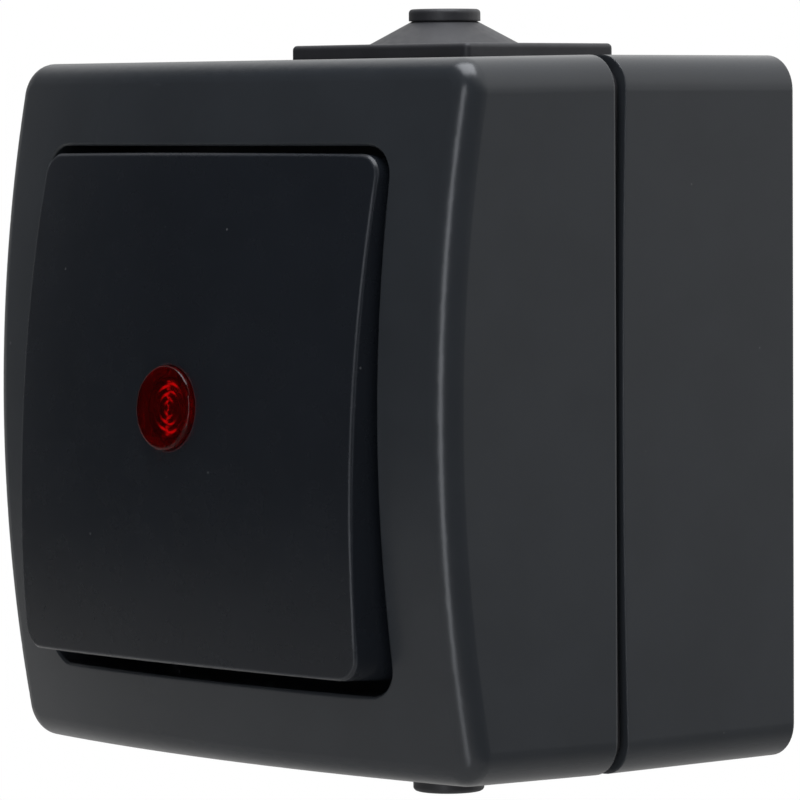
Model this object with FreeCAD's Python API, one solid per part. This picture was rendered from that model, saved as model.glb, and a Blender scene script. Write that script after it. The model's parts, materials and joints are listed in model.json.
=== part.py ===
import FreeCAD
import Part
import math
import os

# Surface-mounted weatherproof rocker switch with a pilot-lamp lens, in millimetres.
# The wall is the plane Y = 0, the front faces -Y, +Z is up, and the origin is the centre of the
# back face. A depth is a distance from the wall, so a depth of d lies at Y = -d.

V = FreeCAD.Vector
ORIGIN = V(0, 0, 0)
ACROSS = V(1, 0, 0)
INWARD = V(0, 1, 0)
UPWARD = V(0, 0, 1)

# Housing as a whole
housing_width = 66.0
housing_height = 66.0
housing_corner = 3.3
housing_wall = 2.0
seam_gap = 0.9
seal_recess = 1.1

# Rear box: its rim falls back a little towards the top and bottom edges
box_depth = 22.1
back_wall = 2.2
rim_fall = 0.6
tongue_height = 2.5
tongue_root = 6.5
tongue_thickness = 1.2
tongue_clearance = 0.1

# Front cover: a shell with a doubly curved front and a well for the rocker
cover_depth = 23.7
cover_draft = 0.9
cover_bow_radius = 150.0
cover_crown_radius = 170.0
cover_edge_radius = 2.5
aperture_chamfer = 0.2
well_wall = 1.5
well_floor = 1.5
well_setback = 5.0
well_window_margin = 0.4
well_window_height = 22.0

# Cable grommets in the top and bottom walls of the rear box
grommet_depth = 14.0
grommet_width = 25.4
grommet_span = 19.1
grommet_front_gap = 0.3
grommet_corner = 0.6
grommet_flange = 1.35
grommet_flange_round = 0.45
grommet_cone_base = 7.3
grommet_cone_top = 3.1
grommet_cone_height = 2.25
grommet_cap_radius = 3.45
grommet_cap_height = 1.15
grommet_cap_round = 0.4
grommet_skin = 1.1
grommet_lip = 1.2
grommet_lip_reach = 2.0
grommet_clearance = 0.05
entry_half_width = 9.5
entry_near = 5.8
entry_corner = 3.0

# Rocker and its travel
rocker_width = 48.1
rocker_height = 47.4
rocker_corner = 2.2
rocker_wall = 1.8
rocker_proud = 2.1
rocker_skirt = 11.8
rocker_bow_radius = 147.0
rocker_chamfer = 0.2
rocker_side_gap = 0.65
rocker_end_gap = 1.15
rocker_tilt = 3.8
pivot_setback = 10.8
pivot_radius = 2.0
running_clearance = 0.06

# Lens in the middle of the rocker
lens_radius = 3.95
lens_proud = 0.65
lens_edge_round = 0.35
lens_clearance = 0.05
lens_flange_reach = 0.95
lens_flange = 0.8
lens_seat_depth = 3.2
lens_seat_width = 1.1
lens_window = 1.3
lens_wall = 1.05
lens_ring_count = 4
lens_ring_height = 0.3

# Rocker cradle: the frame that carries the rocker on two trunnions
cradle_width = 27.8
cradle_height = 18.0
cradle_corner = 1.5
cradle_plate = 2.0
cradle_plate_rise = 3.0
cradle_collar_wall = 1.0
cradle_cheek = 2.4
cradle_cheek_radius = 3.5
cradle_side_gap = 0.3
trunnion_end_gap = 0.2
clip_half_width = 4.0
clip_thickness = 1.25
clip_hook = 0.75
clip_hook_height = 0.9
clip_clearance = 0.12
rocker_pad_radius = 1.5
rocker_pad_x = 9.5
rocker_pad_z = 5.5

# Plunger and its spring
plunger_x = -8.5
plunger_radius = 1.6
plunger_reach = 18.3
plunger_shoulder = 7.0
plunger_spigot_radius = 0.75
plunger_spigot = 2.0
plunger_guide_wall = 1.3
plunger_guide_reach = 11.0
plunger_slot_clearance = 0.5
spring_wire_radius = 0.2
spring_coil_radius = 1.25
spring_turns = 6.0
spring_wire_sides = 6
spring_end_gap = 0.05

# Switch insert: an insulating base and its back
insert_width = 35.0
insert_height = 35.0
insert_corner = 4.0
insert_wall = 2.0
insert_front = 2.0
insert_flange_reach = 2.0
insert_flange_corner = 6.0
insert_setback = 8.0
insert_depth = 18.0
insert_back = 2.0
insert_back_step = 2.0
insert_back_clearance = 0.15
insert_seal_inset = 0.3
ear_thickness = 2.6
ear_radius = 3.6
latch_half_width = 2.5
latch_height = 1.2
latch_reach = 1.1
latch_rise = 0.6
latch_clearance = 0.1

# Contact lever on its knife edge
lever_half_length = 8.8
lever_width = 4.8
lever_thickness = 1.2
lever_rise = 0.3
lever_pivot_setback = 20.0
lever_ratio = 2.0
ridge_radius = 0.8
ridge_clearance = 0.1
ridge_width = 4.0
contact_z = 7.0
moving_tip_radius = 1.3
moving_tip_height = 1.0
fixed_tip_radius = 1.5
fixed_tip_height = 1.4

# Terminals and contact strips
strip_thickness = 0.8
strip_gap = 2.8
terminal_x = 9.5
terminal_z = 12.5
terminal_size = 6.0
terminal_height = 8.7
wire_bore_radius = 1.5
wire_bore_rise = 2.8
wire_hole_clearance = 0.3
terminal_screw_radius = 1.25
terminal_screw_head = 1.9
terminal_screw_head_height = 1.6
terminal_screw_length = 5.0
screw_clearance = 0.05
access_clearance = 0.3
common_bar_width = 2.4
neutral_tongue_width = 1.8
tongue_end_margin = 0.9

# Lamp behind the lens
lamp_radius = 2.0
lamp_length = 12.0
lamp_setback = 13.0
lamp_lead_radius = 0.3
lamp_lead_spread = 1.1
lamp_clearance = 0.08
lamp_holder_wall = 1.1
lamp_holder_overlap = 3.0
lamp_holder_flange_reach = 1.2
lamp_holder_flange = 0.8

# Support plate, posts, screws and seals
screw_inset = 3.85
post_radius = 3.4
post_clearance = 0.15
pilot_depth = 12.0
plate_thickness = 1.0
plate_margin = 3.0
plate_corner = 8.0
plate_window_clearance = 0.1
plate_ear_radius = 4.5
screw_radius = 1.45
screw_length = 10.0
screw_head_radius = 2.9
screw_head_height = 2.0
screw_head_round = 0.8
screw_hole_clearance = 0.4
recess_width = 0.8
recess_depth = 1.1
recess_span = 3.2
screw_seal_thickness = 0.6
screw_seal_margin = 0.2
counterbore_clearance = 0.4
counterbore_depth = 2.2
cover_boss_wall = 1.1
cover_boss_seat = 1.5

# Rear knock-out for a cable from behind, left closed by a thin web
knockout_radius = 9.0
knockout_groove = 0.8
knockout_web = 0.7

# Wall fixing slots, each in a raised collar
fixing_x = 23.0
fixing_slot_radius = 2.2
fixing_slot_length = 8.0
fixing_collar_wall = 1.4
fixing_collar_height = 1.2

# Depths and positions that follow from the sizes above
half_width = housing_width / 2
half_height = housing_height / 2
cover_edge = box_depth + seam_gap
cover_front = cover_edge + cover_depth
rocker_front = cover_front + rocker_proud
rocker_back = rocker_front - rocker_skirt
pivot_depth = rocker_front - pivot_setback
well_floor_front = pivot_depth - well_setback
well_floor_back = well_floor_front - well_floor
aperture_width = rocker_width + 2 * rocker_side_gap
aperture_height = rocker_height + 2 * rocker_end_gap
aperture_corner = rocker_corner + rocker_side_gap
cavity_width = housing_width - 2 * housing_wall
cavity_height = housing_height - 2 * housing_wall
cavity_corner = max(housing_corner - housing_wall, 0.2)
insert_front_depth = pivot_depth - insert_setback
insert_back_depth = insert_front_depth - insert_depth
insert_cavity_width = insert_width - 2 * insert_wall
insert_cavity_height = insert_height - 2 * insert_wall
plate_front = insert_front_depth - insert_front
plate_back = plate_front - plate_thickness
strip_back = insert_back_depth + insert_back_step
strip_front = strip_back + strip_thickness
lever_pivot = pivot_depth - lever_pivot_setback
lever_back = lever_pivot + lever_rise
lever_front = lever_back + lever_thickness
cradle_back = pivot_depth + cradle_plate_rise
cradle_front = cradle_back + cradle_plate
ear_inner = cradle_width / 2 + cradle_side_gap
ear_outer = ear_inner + ear_thickness
lens_front = rocker_front + lens_proud
lens_seat = rocker_front - lens_seat_depth
lens_back = lens_seat - lens_flange
lens_flange_radius = lens_radius + lens_flange_reach
plunger_tip = pivot_depth - plunger_reach
plunger_guide_radius = plunger_radius + running_clearance + plunger_guide_wall
plunger_guide_back = pivot_depth - plunger_guide_reach
plunger_top = pivot_depth - plunger_shoulder
wire_bore_depth = strip_front + wire_bore_rise
terminal_front = strip_front + terminal_height
lamp_front = rocker_front - lamp_setback
lamp_back = lamp_front - lamp_length
cover_screw_seat = well_floor_front - counterbore_depth
cover_boss_back = cover_screw_seat - cover_boss_seat
counterbore_radius = screw_head_radius + counterbore_clearance
post_x = aperture_width / 2 - screw_inset
post_z = aperture_height / 2 - screw_inset
cover_screw_places = [(post_x, post_z), (-post_x, -post_z)]
plate_screw_places = [(post_x, -post_z), (-post_x, post_z)]
cover_boss_radius = counterbore_radius + cover_boss_wall
terminal_places = [(x, z) for x in (-terminal_x, terminal_x) for z in (-terminal_z, terminal_z)]


def box(x_low, x_high, near, far, z_low, z_high):
    """Block between two depths."""
    return Part.makeBox(x_high - x_low, far - near, z_high - z_low, V(x_low, -far, z_low))


def rod(x, z, radius, near, far):
    """Cylinder along the depth, between two depths."""
    return Part.makeCylinder(radius, far - near, V(x, -far, z), INWARD)


def cross_rod(x_low, x_high, depth, z, radius):
    """Cylinder along X."""
    return Part.makeCylinder(radius, x_high - x_low, V(x_low, -depth, z), ACROSS)


def round_slot(x, z, radius, half_x, half_z, near, far):
    """Round-ended slot along X or Z, given by half the distance between its end centres."""
    ends = [rod(x - half_x, z - half_z, radius, near, far), rod(x + half_x, z + half_z, radius, near, far)]
    side_x = half_x if half_x > 0 else radius
    side_z = half_z if half_z > 0 else radius
    return box(x - side_x, x + side_x, near, far, z - side_z, z + side_z).fuse(ends).removeSplitter()


def rounded_outline(width, height, corner, place):
    """Rounded rectangle about the point that place(0, 0) gives."""
    u = width / 2
    v = height / 2
    slant = corner * (1 - math.sqrt(0.5))
    edges = []
    for su, sv in ((1, 1), (-1, 1), (-1, -1), (1, -1)):
        first = place(su * u, sv * (v - corner))
        last = place(su * (u - corner), sv * v)
        if su * sv < 0:
            first, last = last, first
        middle = place(su * (u - slant), sv * (v - slant))
        edges.append(Part.Arc(first, middle, last).toShape())
    corners = list(edges)
    for arc, following in zip(corners, corners[1:] + corners[:1]):
        edges.append(Part.makeLine(arc.Vertexes[-1].Point, following.Vertexes[0].Point))
    return Part.Wire(Part.sortEdges(edges)[0])


def slab(width, height, corner, near, far):
    """Rounded rectangular block centred on the depth axis, between two depths."""
    outline = rounded_outline(width, height, corner, lambda u, v: V(u, -far, v))
    return Part.Face(outline).extrude(INWARD * (far - near))


def revolved(points, base, direction):
    """Solid made by turning a closed outline about an axis."""
    face = Part.Face(Part.makePolygon(points + points[:1]))
    return face.revolve(base, direction, 360)


def turned(profile, x, z):
    """Solid turned about the depth axis at (x, z), from (radius, depth) points."""
    points = [V(x + radius, -depth, z) for radius, depth in profile]
    return revolved(points, V(x, 0, z), INWARD)


def bow_sag(radius, reach):
    """Fall of an arc at a distance from its middle."""
    return radius - math.sqrt(radius ** 2 - reach ** 2)


def barrel(front, bow_radius, crown_radius):
    """Doubly curved block from the wall to a front that is bowed in Z and crowned in X."""
    reach = 0.7 * housing_width
    half_angle = math.degrees(math.asin(0.8 * housing_height / bow_radius))
    axis = V(0, bow_radius - front, 0)
    side = bow_sag(crown_radius, reach) - front
    crown = Part.Arc(V(-reach, side, 0), V(0, -front, 0), V(reach, side, 0)).toShape()
    rest = Part.makePolygon([V(reach, side, 0), V(reach, 0, 0), V(-reach, 0, 0), V(-reach, side, 0)])
    face = Part.Face(Part.Wire([crown] + rest.Edges))
    face.rotate(axis, ACROSS, -half_angle)
    return face.revolve(axis, ACROSS, 2 * half_angle)


def bowed_block(front, back, bow_radius):
    """Block across the whole housing whose front is bowed in Z only."""
    reach = 0.7 * housing_height
    end = bow_sag(bow_radius, reach) - front
    x = -housing_width
    bow = Part.Arc(V(x, end, -reach), V(x, -front, 0), V(x, end, reach)).toShape()
    rest = Part.makePolygon([V(x, end, reach), V(x, -back, reach), V(x, -back, -reach), V(x, end, -reach)])
    return Part.Face(Part.Wire([bow] + rest.Edges)).extrude(ACROSS * (2 * housing_width))


def front_face(shape):
    """The face of a shape that lies furthest from the wall."""
    return min(shape.Faces, key=lambda face: face.CenterOfMass.y)


def depth_edges(shape, least):
    """The edges that run along the depth for at least a given distance."""
    return [e for e in shape.Edges if abs(e.Vertexes[0].Y - e.Vertexes[-1].Y) > least]


def edges_at(shape, level):
    """The edges that lie at one height."""
    return [e for e in shape.Edges if all(abs(v.Z - level) < 1e-6 for v in e.Vertexes)]


def behind_rim():
    """Everything behind the bowed rim of the rear box."""
    rim_radius = (half_height ** 2 + rim_fall ** 2) / (2 * rim_fall)
    return bowed_block(box_depth, 0, rim_radius)


def entry_slot(clearance, z_low, z_high):
    """Cable entry in a wall: a slot with rounded ends that is open to the front."""
    width = 2 * (entry_half_width - clearance)
    near = entry_near + clearance
    span = 2 * (cover_edge - near)
    outline = rounded_outline(width, span, entry_corner, lambda u, v: V(u, -cover_edge + v, z_low))
    slot = Part.Face(outline).extrude(UPWARD * (z_high - z_low))
    return slot.common(box(-half_width, half_width, near, cover_edge + tongue_height, z_low, z_high))


def pan_screw(x, z, seat, radius, length, head_radius, head_height, head_round):
    """Pan-head screw whose head sits on a depth and whose shank runs towards the wall."""
    top = seat + head_height
    screw = turned([
        (0, seat - length), (radius, seat - length), (radius, seat), (head_radius, seat),
        (head_radius, top - head_round), (head_radius - head_round, top), (0, top)], x, z)
    deep = top - recess_depth
    half = recess_span / 2
    thin = recess_width / 2
    across = box(x - half, x + half, deep, top, z - thin, z + thin)
    upright = box(x - thin, x + thin, deep, top, z - half, z + half)
    return screw.cut([across, upright])


def rear_box():
    """Open box with posts, a locating tongue, two cable entries and two slots for wall screws."""
    block = slab(housing_width, housing_height, housing_corner, 0, cover_edge).common(behind_rim())
    tongue_width = cavity_width - 2 * tongue_clearance
    tongue_span = cavity_height - 2 * tongue_clearance
    tongue_base = box_depth - tongue_root
    block = block.fuse(slab(tongue_width, tongue_span, cavity_corner, tongue_base, box_depth + tongue_height))
    inner = 2 * tongue_thickness
    mouth_far = box_depth + 2 * tongue_height
    mouth = slab(tongue_width - inner, tongue_span - inner, cavity_corner, back_wall, mouth_far)
    block = block.cut([slab(cavity_width, cavity_height, cavity_corner, back_wall, tongue_base), mouth])
    notch = entry_half_width + grommet_lip_reach + tongue_clearance
    for side in (-1, 1):
        inner_face = half_height - housing_wall
        low, high = sorted((side * (inner_face - 2 * tongue_thickness), side * inner_face))
        block = block.cut(box(-notch, notch, back_wall, mouth_far, low, high))
        low, high = sorted((side * (inner_face - housing_wall), side * (half_height + housing_wall)))
        block = block.cut(entry_slot(0, low, high))
    posts = [(place, cover_boss_back) for place in cover_screw_places]
    posts += [(place, plate_back) for place in plate_screw_places]
    for (x, z), top in posts:
        block = block.fuse(rod(x, z, post_radius, back_wall / 2, top))
        block = block.cut(rod(x, z, screw_radius + screw_clearance, top - pilot_depth, top))
    half_slot = fixing_slot_length / 2 - fixing_slot_radius
    collar_top = back_wall + fixing_collar_height
    collar_radius = fixing_slot_radius + fixing_collar_wall
    for x in (-fixing_x, fixing_x):
        block = block.fuse(round_slot(x, 0, collar_radius, half_slot, 0, back_wall / 2, collar_top))
        block = block.cut(round_slot(x, 0, fixing_slot_radius, half_slot, 0, 0, collar_top))
    groove_depth = back_wall - knockout_web
    groove = rod(0, 0, knockout_radius, 0, groove_depth)
    block = block.cut(groove.cut(rod(0, 0, knockout_radius - knockout_groove, 0, groove_depth)))
    return block.removeSplitter()


def cover_form(inset):
    """Drafted block with the cover's curved front, inset from its outer faces."""
    far = cover_front + rocker_proud
    narrowing = (far - cover_edge) * math.tan(math.radians(cover_draft))
    wide = half_width - inset
    narrow = wide - narrowing
    tall = half_height - inset
    low = tall - narrowing
    block = Part.makeWedge(-narrow, -far, -low, -tall, -wide, narrow, -cover_edge, low, tall, wide)
    block = block.common(barrel(cover_front - inset, cover_bow_radius - inset, cover_crown_radius - inset))
    corner = max(housing_corner - inset, 0.2)
    return block.makeFillet(corner, depth_edges(block, housing_wall))


def front_cover():
    """Shell with a curved front, and a well with a window and two sunk screw seats."""
    outer = cover_form(0)
    outer = outer.makeFillet(cover_edge_radius, front_face(outer).OuterWire.Edges)
    shell = outer.cut(cover_form(housing_wall))
    well_width = aperture_width + 2 * well_wall
    well_height = aperture_height + 2 * well_wall
    well = slab(well_width, well_height, aperture_corner + well_wall, well_floor_back, rocker_front)
    for x, z in cover_screw_places:
        well = well.fuse(rod(x, z, cover_boss_radius, cover_boss_back, well_floor_front))
    shell = shell.fuse(well.common(outer))
    shell = shell.cut(slab(aperture_width, aperture_height, aperture_corner, well_floor_front, rocker_front))
    window_width = 2 * (ear_outer + well_window_margin)
    shell = shell.cut(slab(window_width, well_window_height, rocker_corner, cover_boss_back, rocker_front))
    for x, z in cover_screw_places:
        shell = shell.cut(rod(x, z, counterbore_radius, cover_screw_seat, rocker_front))
        shell = shell.cut(rod(x, z, screw_radius + screw_hole_clearance, cover_boss_back, rocker_front))
    shell = shell.removeSplitter()
    face = front_face(shell)
    rim = [e for wire in face.Wires if not wire.isSame(face.OuterWire) for e in wire.Edges]
    return shell.makeChamfer(aperture_chamfer, rim)


def housing_seal():
    """Ring between the bowed rim of the rear box and the edge of the cover."""
    outer = slab(
        housing_width - 2 * seal_recess, housing_height - 2 * seal_recess,
        housing_corner - seal_recess, box_depth - 2 * rim_fall, cover_edge)
    inner = slab(cavity_width, cavity_height, cavity_corner, 0, 2 * cover_edge)
    return outer.cut(inner).cut(behind_rim())


def top_cable_grommet():
    """Rubber grommet with a closed cone, held in the entry by its flange and inner lip."""
    middle = cover_edge - grommet_front_gap - grommet_span / 2
    outline = rounded_outline(
        grommet_width, grommet_span, grommet_corner, lambda u, v: V(u, -middle + v, half_height))
    flange = Part.Face(outline).extrude(UPWARD * grommet_flange)
    top = half_height + grommet_flange
    flange = flange.makeFillet(grommet_flange_round, edges_at(flange, top))
    cone_top = top + grommet_cone_height
    cap_top = cone_top + grommet_cap_height
    axis = V(0, -grommet_depth, 0)
    outside = [
        V(0, 0, half_height), V(grommet_cone_base, 0, half_height), V(grommet_cone_base, 0, top),
        V(grommet_cone_top, 0, cone_top), V(grommet_cap_radius, 0, cone_top),
        V(grommet_cap_radius, 0, cap_top), V(0, 0, cap_top)]
    inner_face = half_height - housing_wall
    lip_face = inner_face - grommet_lip
    hollow_base = grommet_cone_base - grommet_skin
    hollow_top = grommet_cone_top - grommet_skin
    inside = [
        V(0, 0, lip_face), V(hollow_base, 0, lip_face), V(hollow_base, 0, half_height),
        V(hollow_top, 0, cone_top), V(0, 0, cone_top)]
    cone = revolved([axis + p for p in outside], axis, UPWARD)
    cone = cone.makeFillet(grommet_cap_round, edges_at(cone, cap_top))
    hollow = revolved([axis + p for p in inside], axis, UPWARD)
    slot_front = box_depth - rim_fall - grommet_clearance
    plug = entry_slot(grommet_clearance, inner_face, half_height)
    lip_width = 2 * (entry_half_width + grommet_lip_reach)
    lip_near = entry_near - grommet_lip_reach
    lip = box(-lip_width / 2, lip_width / 2, lip_near, slot_front, lip_face, inner_face)
    plug = plug.common(box(-half_width, half_width, 0, slot_front, lip_face, half_height))
    return flange.fuse([cone, plug, lip]).cut(hollow).removeSplitter()


def bottom_cable_grommet():
    """The same grommet in the bottom wall."""
    return top_cable_grommet().mirror(ORIGIN, UPWARD)


def cover_screws():
    """Two screws that hold the cover, sunk in the well."""
    seat = cover_screw_seat + screw_seal_thickness
    length = screw_length + screw_seal_thickness
    return Part.Compound([
        pan_screw(x, z, seat, screw_radius, length, screw_head_radius, screw_head_height, screw_head_round)
        for x, z in cover_screw_places])


def cover_screw_seals():
    """Two sealing washers under the heads of the cover screws."""
    near = cover_screw_seat
    far = near + screw_seal_thickness
    outer = counterbore_radius - screw_seal_margin
    inner = screw_radius + screw_clearance
    return Part.Compound([
        rod(x, z, outer, near, far).cut(rod(x, z, inner, near, far)) for x, z in cover_screw_places])


def support_plate():
    """Steel plate that carries the switch insert on two posts."""
    width = insert_width + 2 * plate_margin
    height = insert_height + 2 * plate_margin
    plate = slab(width, height, plate_corner, plate_back, plate_front)
    for x, z in plate_screw_places:
        low_x, high_x = sorted((math.copysign(width / 2 - plate_corner, x), x))
        low_z, high_z = sorted((math.copysign(height / 2 - plate_corner, z), z))
        tab = box(low_x, high_x, plate_back, plate_front, low_z, high_z)
        plate = plate.fuse([tab, rod(x, z, plate_ear_radius, plate_back, plate_front)])
    for x, z in cover_screw_places:
        plate = plate.cut(rod(x, z, post_radius + post_clearance, plate_back, plate_front))
    for x, z in plate_screw_places:
        plate = plate.cut(rod(x, z, screw_radius + screw_hole_clearance, plate_back, plate_front))
    gap = 2 * plate_window_clearance
    window_corner = insert_corner + plate_window_clearance
    window = slab(insert_width + gap, insert_height + gap, window_corner, plate_back, plate_front)
    return plate.cut(window).removeSplitter()


def plate_screws():
    """Two screws that hold the support plate."""
    return Part.Compound([
        pan_screw(
            x, z, plate_front, screw_radius, screw_length,
            screw_head_radius, screw_head_height, screw_head_round)
        for x, z in plate_screw_places])


def switch_base():
    """Insulating base: an open-backed block with a flange, bearing ears and holes for its parts."""
    flange_width = insert_width + 2 * insert_flange_reach
    flange_height = insert_height + 2 * insert_flange_reach
    base = slab(insert_width, insert_height, insert_corner, insert_back_depth, insert_front_depth)
    base = base.fuse(slab(flange_width, flange_height, insert_flange_corner, plate_front, insert_front_depth))
    base = base.cut(boss_notches(plate_front, insert_front_depth))
    inner_corner = insert_corner - insert_wall
    base = base.cut(
        slab(insert_cavity_width, insert_cavity_height, inner_corner, insert_back_depth, plate_front))
    for x_low, x_high in ((-ear_outer, -ear_inner), (ear_inner, ear_outer)):
        ear = box(x_low, x_high, insert_front_depth - insert_front / 2, pivot_depth, -ear_radius, ear_radius)
        ear = ear.fuse(cross_rod(x_low, x_high, pivot_depth, 0, ear_radius))
        base = base.fuse(ear.cut(cross_rod(x_low, x_high, pivot_depth, 0, pivot_radius + running_clearance)))
    swing = insert_setback + insert_front
    slot_radius = plunger_guide_radius + plunger_slot_clearance
    slot_rise = swing * math.tan(math.radians(rocker_tilt))
    guide_slot = round_slot(plunger_x, 0, slot_radius, 0, slot_rise, plate_front, insert_front_depth)
    lamp_hole = lamp_radius + lamp_clearance + lamp_holder_wall + lamp_clearance
    cuts = [guide_slot, rod(0, 0, lamp_hole, plate_front, insert_front_depth)]
    access = terminal_screw_head + access_clearance
    wire_hole = wire_bore_radius + wire_hole_clearance
    for x, z in terminal_places:
        cuts.append(rod(x, z, access, plate_front, insert_front_depth))
        start = z if z > 0 else z - insert_height
        cuts.append(Part.makeCylinder(wire_hole, insert_height, V(x, -wire_bore_depth, start), UPWARD))
    for side in (-1, 1):
        cuts.append(latch(side, latch_clearance))
    return base.cut(cuts).removeSplitter()


def latch(side, clearance):
    """Snap latch of the insert's back, or with a clearance the window that takes it."""
    root = insert_cavity_width / 2 - insert_wall / 2
    tip = insert_cavity_width / 2 + latch_reach + clearance
    low, high = sorted((side * root, side * tip))
    near = insert_back_depth + latch_rise - clearance
    far = near + latch_height + 2 * clearance
    half = latch_half_width + clearance
    return box(low, high, near, far, -half, half)


def switch_back():
    """Insulating back that closes the base, with a step that carries the contact strips."""
    gap = 2 * insert_back_clearance
    near = insert_back_depth - insert_back
    back = slab(insert_width, insert_height, insert_corner, near, insert_back_depth)
    step = slab(
        insert_cavity_width - gap, insert_cavity_height - gap, insert_corner - insert_wall,
        insert_back_depth - insert_back / 2, strip_back)
    return back.fuse([step, latch(-1, 0), latch(1, 0)]).removeSplitter()


def boss_notches(near, far):
    """Room for the cover's screw bosses and the heads of the plate screws."""
    radius = cover_boss_radius + post_clearance
    return [rod(x, z, radius, near, far) for x, z in cover_screw_places + plate_screw_places]


def insert_seal():
    """Flat seal between the flange of the insert and the back of the well floor."""
    outer = slab(
        insert_width + 2 * insert_flange_reach, insert_height + 2 * insert_flange_reach,
        insert_flange_corner, insert_front_depth, well_floor_back)
    width = 2 * (ear_outer + well_window_margin + insert_seal_inset)
    height = well_window_height + 2 * insert_seal_inset
    seal = outer.cut(slab(width, height, rocker_corner, insert_front_depth, well_floor_back))
    return seal.cut(boss_notches(insert_front_depth, well_floor_back))


def strip(x_low, x_high, z_low, z_high):
    """Flat piece of contact strip on the step of the insert's back."""
    return box(x_low, x_high, strip_back, strip_front, z_low, z_high)


def terminal_strip(side_x, z_low, z_high):
    """Piece of strip as wide as a terminal block."""
    middle = side_x * terminal_x
    return strip(middle - terminal_size / 2, middle + terminal_size / 2, z_low, z_high)


def common_strip():
    """Strip from the common terminal to the knife edge under the lever."""
    half = lever_width / 2
    ridge_half = ridge_width / 2
    top = contact_z - fixed_tip_radius - strip_gap
    left = plunger_x - half
    bar_top = -lamp_lead_spread - lamp_lead_radius - tongue_end_margin / 2
    bar_low = bar_top - common_bar_width
    right = terminal_x + terminal_size / 2
    end = tongue_end_margin
    ridge_left = plunger_x - ridge_half
    ridge_right = plunger_x + ridge_half
    pieces = [
        strip(left, right, bar_low, bar_top),
        terminal_strip(1, -terminal_z - terminal_size / 2, bar_top),
        strip(-end, end, bar_low, -lamp_lead_spread + lamp_lead_radius + tongue_end_margin / 4),
        box(ridge_left, ridge_right, strip_back, lever_pivot, -ridge_radius, ridge_radius),
        cross_rod(ridge_left, ridge_right, lever_pivot, 0, ridge_radius)]
    foot = strip(left, plunger_x + half, bar_low, top)
    return foot.fuse(pieces).removeSplitter()


def upper_contact_strip():
    """Strip from the upper contact to its terminal."""
    return terminal_strip(-1, contact_z - fixed_tip_radius, terminal_z + terminal_size / 2)


def lower_contact_strip():
    """Strip from the lower contact to its terminal."""
    return terminal_strip(-1, -terminal_z - terminal_size / 2, -contact_z + fixed_tip_radius)


def neutral_strip():
    """Strip from the neutral terminal to the second lamp lead."""
    low = lamp_lead_spread - neutral_tongue_width / 2
    tongue = strip(-tongue_end_margin, terminal_x, low, low + neutral_tongue_width)
    return terminal_strip(1, low, terminal_z + terminal_size / 2).fuse(tongue).removeSplitter()


def fixed_contact_tips():
    """Two flat contact tips on the upper and lower strips."""
    front = strip_front + fixed_tip_height
    return Part.Compound([
        rod(plunger_x, z, fixed_tip_radius, strip_front, front) for z in (-contact_z, contact_z)])


def terminal_blocks():
    """Four brass pillars, each with a wire bore and a hole for its screw."""
    half = terminal_size / 2
    blocks = []
    for x, z in terminal_places:
        block = box(x - half, x + half, strip_front, terminal_front, z - half, z + half)
        bore = Part.makeCylinder(wire_bore_radius, terminal_size, V(x, -wire_bore_depth, z - half), UPWARD)
        hole = rod(x, z, terminal_screw_radius + screw_clearance, wire_bore_depth, terminal_front)
        blocks.append(block.cut([bore, hole]))
    return Part.Compound(blocks)


def terminal_screws():
    """Four screws in the terminal blocks, backed off from the wire bores."""
    tip = wire_bore_depth + wire_bore_radius
    seat = tip + terminal_screw_length
    round_off = terminal_screw_head_height / 4
    return Part.Compound([
        slotted_screw(x, z, seat, round_off) for x, z in terminal_places])


def slotted_screw(x, z, seat, round_off):
    """Terminal screw with a straight slot in its head."""
    top = seat + terminal_screw_head_height
    profile = [
        (0, seat - terminal_screw_length), (terminal_screw_radius, seat - terminal_screw_length),
        (terminal_screw_radius, seat), (terminal_screw_head, seat), (terminal_screw_head, top - round_off),
        (terminal_screw_head - round_off, top), (0, top)]
    slot = box(
        x - terminal_screw_head, x + terminal_screw_head, seat + terminal_screw_head_height / 2, top,
        z - recess_width / 2, z + recess_width / 2)
    return turned(profile, x, z).cut(slot)


def lamp_holder():
    """Tube through the base that carries the lamp, resting on its flange."""
    bore = lamp_radius + lamp_clearance
    outer = bore + lamp_holder_wall
    near = lamp_back - lamp_holder_overlap
    far = lamp_front - lamp_holder_overlap
    flange_far = insert_front_depth + lamp_holder_flange
    tube = rod(0, 0, outer, near, far)
    tube = tube.fuse(rod(0, 0, outer + lamp_holder_flange_reach, insert_front_depth, flange_far))
    return tube.cut(rod(0, 0, bore, near, far)).removeSplitter()


def lamp():
    """Lamp capsule with a rounded tip."""
    dome = Part.makeSphere(lamp_radius, V(0, -lamp_front + lamp_radius, 0))
    return rod(0, 0, lamp_radius, lamp_back, lamp_front - lamp_radius).fuse(dome).removeSplitter()


def lamp_leads():
    """Two leads from the lamp to the neutral and common strips."""
    return Part.Compound([
        rod(0, z, lamp_lead_radius, strip_front, lamp_back) for z in (-lamp_lead_spread, lamp_lead_spread)])


def contact_lever():
    """Rocking contact strip with a groove that sits on the knife edge."""
    left = plunger_x - lever_width / 2
    right = plunger_x + lever_width / 2
    lever = box(left, right, lever_back, lever_front, -lever_half_length, lever_half_length)
    groove = cross_rod(left, right, lever_pivot, 0, ridge_radius + ridge_clearance)
    return at_rest_lever(lever.cut(groove))


def lever_contact_tips():
    """Two domed contact tips under the ends of the lever."""
    sphere_radius = (moving_tip_radius ** 2 + moving_tip_height ** 2) / (2 * moving_tip_height)
    tip_back = lever_back - moving_tip_height
    tips = []
    for z in (-contact_z, contact_z):
        middle = V(plunger_x, -(tip_back + sphere_radius), z)
        dome = Part.makeSphere(sphere_radius, middle)
        tips.append(dome.common(rod(plunger_x, z, 2 * moving_tip_radius, tip_back, lever_back)))
    return at_rest_lever(Part.Compound(tips))


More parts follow.
